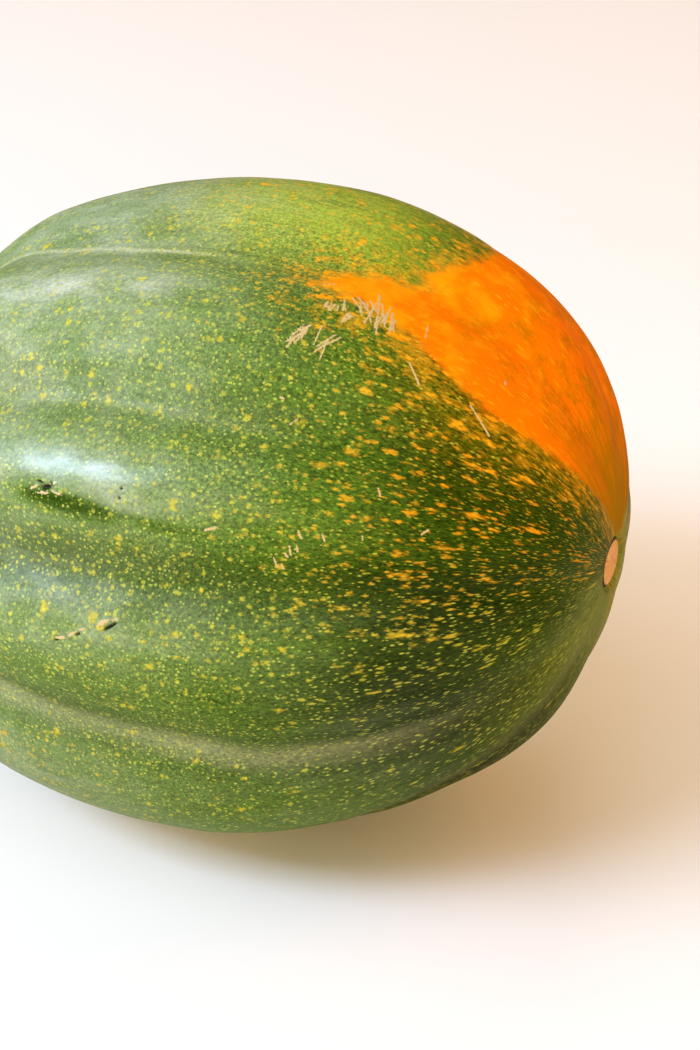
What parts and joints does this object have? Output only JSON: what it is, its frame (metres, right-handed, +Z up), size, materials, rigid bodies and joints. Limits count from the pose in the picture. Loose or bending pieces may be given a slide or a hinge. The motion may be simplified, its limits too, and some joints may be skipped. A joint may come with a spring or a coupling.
{
  "type": "acorn squash",
  "caption": "Ribbed oval winter squash lying on its side on two of its ribs, with a small round blossom scar at one end and a short cut stem at the other.",
  "frame": {"origin": "middle of the underside of the whole squash's box, on the surface it lies on", "axes": "+X along the growth axis towards the blossom end, +Z up, -Y the side with the dented ribs"},
  "size_m": [0.1528, 0.1198, 0.1171],
  "materials": {
    "rind": "waxy satin skin, deep green with yellow flecks and an orange ground spot",
    "stem_wood": "dry, ridged and matt, with a corky cut end"
  },
  "bodies": {
    "root": {"squash_fruit": "rind", "stem_stub": "stem_wood"}
  },
  "joints": []
}
